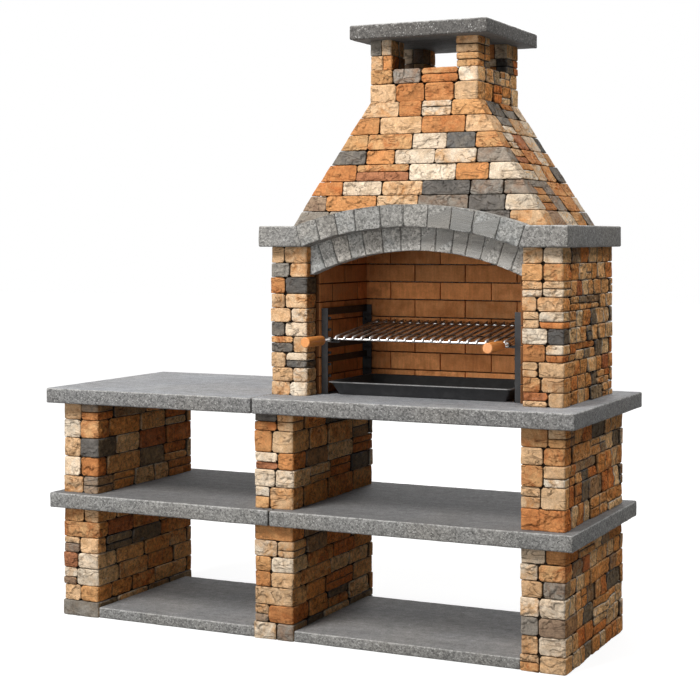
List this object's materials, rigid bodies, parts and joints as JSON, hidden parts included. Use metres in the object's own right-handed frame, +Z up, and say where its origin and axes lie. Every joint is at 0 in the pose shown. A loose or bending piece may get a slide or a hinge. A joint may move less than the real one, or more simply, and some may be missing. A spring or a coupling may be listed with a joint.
{
  "type": "masonry barbecue",
  "caption": "Free-standing masonry barbecue of stone piers and concrete slabs, with a brick-lined arched firebox, hipped stone hood and chimney, sliding grill and ash tray.",
  "frame": {"origin": "on the ground under the middle of the worktop, which is the middle of the whole plan", "axes": "+Z up, +X to the right along the worktop as seen from the front, +Y from the front to the rear"},
  "size_m": [2.25, 0.85, 2.35],
  "materials": {
    "split_stone": "split-face stone in cream, ochre, rust and grey",
    "cast_concrete": "speckled grey cast concrete with eased edges",
    "cap_concrete": "darker grey cast concrete",
    "core_concrete": "plain cast concrete and mortar",
    "firebrick": "smooth orange-brown firebrick",
    "black_steel": "matt black heat-proof paint",
    "chromed_steel": "chromed round bar",
    "turned_wood": "varnished turned wood"
  },
  "bodies": {
    "masonry": {"back_lining_bricks": "firebrick", "chimney_band_stones": "split_stone", "chimney_cap": "cap_concrete", "chimney_panels": "core_concrete", "chimney_post_cores": "core_concrete", "chimney_post_stones": "split_stone", "firebox_back_panel": "core_concrete", "firebox_left_pier_core": "core_concrete", "firebox_left_pier_stones": "split_stone", "firebox_right_pier_core": "core_concrete", "firebox_right_pier_stones": "split_stone", "frame_bolts": "black_steel", "frame_pegs": "black_steel", "grill_rest_pins": "black_steel", "grill_worktop": "cast_concrete", "hood_back_panel": "core_concrete", "hood_front_panel": "core_concrete", "hood_left_panel": "core_concrete", "hood_right_panel": "core_concrete", "hood_stones": "split_stone", "left_base_slab": "cast_concrete", "left_frame_rails": "black_steel", "left_front_post": "black_steel", "left_lining_bricks": "firebrick", "left_rear_post": "black_steel", "left_shelf": "cast_concrete", "lower_arch_voussoirs": "cast_concrete", "lower_left_pier_core": "core_concrete", "lower_left_pier_stones": "split_stone", "lower_middle_pier_core": "core_concrete", "lower_middle_pier_stones": "split_stone", "lower_right_pier_core": "core_concrete", "lower_right_pier_stones": "split_stone", "mantel_left_slab": "cast_concrete", "mantel_rear_beam": "cast_concrete", "mantel_right_slab": "cast_concrete", "right_base_slab": "cast_concrete", "right_frame_rails": "black_steel", "right_front_post": "black_steel", "right_lining_bricks": "firebrick", "right_rear_post": "black_steel", "right_shelf": "cast_concrete", "side_table_top": "cast_concrete", "upper_arch_voussoirs": "cast_concrete", "upper_left_pier_core": "core_concrete", "upper_left_pier_stones": "split_stone", "upper_middle_pier_core": "core_concrete", "upper_middle_pier_stones": "split_stone", "upper_right_pier_core": "core_concrete", "upper_right_pier_stones": "split_stone"},
    "grill": {"grill_left_side_bar": "chromed_steel", "grill_right_side_bar": "chromed_steel", "grill_front_bar": "chromed_steel", "grill_rear_bar": "chromed_steel", "grill_rods": "chromed_steel", "handle_collars": "chromed_steel", "left_handle": "turned_wood", "right_handle": "turned_wood"},
    "tray": {"ash_tray": "black_steel"}
  },
  "joints": [
    {"name": "grill_slide", "type": "slide", "parent": "masonry", "child": "grill", "axis": [0, -1, 0], "range_m": [0, 0.42]},
    {"name": "tray_slide", "type": "slide", "parent": "masonry", "child": "tray", "axis": [0, -1, 0], "range_m": [0, 0.4]}
  ]
}
